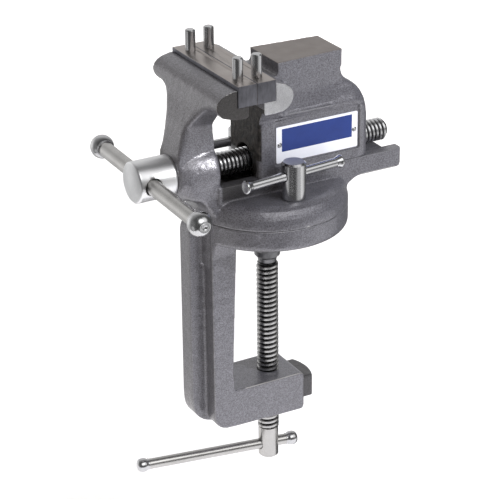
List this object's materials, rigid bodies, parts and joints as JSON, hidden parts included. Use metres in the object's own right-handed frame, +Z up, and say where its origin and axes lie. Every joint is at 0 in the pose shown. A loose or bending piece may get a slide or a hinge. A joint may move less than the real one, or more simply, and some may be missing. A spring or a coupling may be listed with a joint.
{
  "type": "clamp-on vise",
  "caption": "Cast bench vise that clamps to a table edge with a screw under its swivel base: flat steel jaw blocks with upright pins, a small anvil, a bar-turned spindle and two swivel locks.",
  "frame": {"origin": "where the swivel axis, which is also the clamp screw's axis, meets the underside of the clamp frame's disc, the face that rests on the bench top", "axes": "+Z up out of the bench top, +X along the spindle from the handle to the anvil, +Y across the jaws"},
  "size_m": [0.1648, 0.1306, 0.2671],
  "materials": {
    "enamel": "hammered silver-grey enamel",
    "ground_steel": "ground steel",
    "dark_steel": "as-forged dark steel",
    "bright_steel": "bright plated steel",
    "satin_steel": "satin turned steel",
    "thread_steel": "bright rolled thread with dark roots",
    "bronze": "plain cast bronze",
    "plate_white": "white lacquered sheet with a plain navy panel"
  },
  "bodies": {
    "frame": {"clamp_frame": "enamel", "pivot_pin": "satin_steel"},
    "base": {"swivel_base": "enamel", "front_jaw_block": "ground_steel", "front_block_screws": "dark_steel", "front_jaw_pins": "bright_steel", "lock_studs": "dark_steel"},
    "jaw": {"sliding_jaw": "enamel", "rear_jaw_block": "ground_steel", "rear_block_screws": "dark_steel", "rear_jaw_pins": "bright_steel", "spindle_nut": "bronze", "jaw_keeper": "dark_steel", "keeper_screws": "dark_steel", "nameplate": "plate_white", "nameplate_rivets": "bright_steel"},
    "screw": {"spindle": "bright_steel", "spindle_washer": "satin_steel", "retaining_ring": "dark_steel"},
    "handle": {"spindle_bar": "satin_steel", "spindle_bar_balls": "bright_steel"},
    "near_lock": {"lock_post_near": "bright_steel"},
    "near_lock_bar": {"lock_bar_near": "bright_steel", "lock_caps_near": "bright_steel"},
    "far_lock": {"lock_post_far": "bright_steel"},
    "far_lock_bar": {"lock_bar_far": "bright_steel", "lock_caps_far": "bright_steel"},
    "pad": {"clamp_pad": "thread_steel"},
    "clamp_spindle": {"clamp_screw": "thread_steel"},
    "clamp_handle": {"clamp_bar": "satin_steel", "clamp_bar_knobs": "bright_steel"}
  },
  "joints": [
    {"name": "swivel_turn", "type": "hinge", "parent": "frame", "child": "base", "pos_m": [0, 0, 0.013], "axis": [0, 0, 1], "continuous": true},
    {"name": "jaw_slide", "type": "slide", "parent": "base", "child": "jaw", "axis": [1, 0, 0], "range_m": [0, 0.0635]},
    {"name": "spindle_turn", "type": "hinge", "parent": "base", "child": "screw", "pos_m": [-0.0619, 0, 0.0411], "axis": [1, 0, 0], "range_deg": [-9154, 10]},
    {"name": "handle_slide", "type": "slide", "parent": "screw", "child": "handle", "axis": [0, 0.9998, 0.0209], "range_m": [-0.035, 0.045]},
    {"name": "near_lock_turn", "type": "hinge", "parent": "base", "child": "near_lock", "pos_m": [0, -0.0304, 0.0393], "axis": [0, 0, 1], "range_deg": [-19, 8]},
    {"name": "near_bar_slide", "type": "slide", "parent": "near_lock", "child": "near_lock_bar", "axis": [-0.9952, -0.0976, 0], "range_m": [-0.02, 0.02]},
    {"name": "far_lock_turn", "type": "hinge", "parent": "base", "child": "far_lock", "pos_m": [0, 0.0304, 0.0393], "axis": [0, 0, 1], "range_deg": [-11, 15]},
    {"name": "far_bar_slide", "type": "slide", "parent": "far_lock", "child": "far_lock_bar", "axis": [0.9994, -0.0349, 0], "range_m": [-0.02, 0.02]},
    {"name": "clamp_lift", "type": "slide", "parent": "frame", "child": "pad", "axis": [0, 0, 1], "range_m": [-0.0545, 0.0085]},
    {"name": "clamp_turn", "type": "hinge", "parent": "pad", "child": "clamp_spindle", "pos_m": [0, 0, -0.1], "axis": [0, 0, 1], "range_deg": [-6545, 1025]},
    {"name": "clamp_bar_slide", "type": "slide", "parent": "clamp_spindle", "child": "clamp_handle", "axis": [0.9848, -0.1736, 0], "range_m": [-0.004, 0.0685]}
  ],
  "couplings": [
    {"joint": "spindle_turn", "follows": "jaw_slide", "rad_per_m": -2513.3},
    {"joint": "clamp_turn", "follows": "clamp_lift", "rad_per_m": 2094.4}
  ]
}
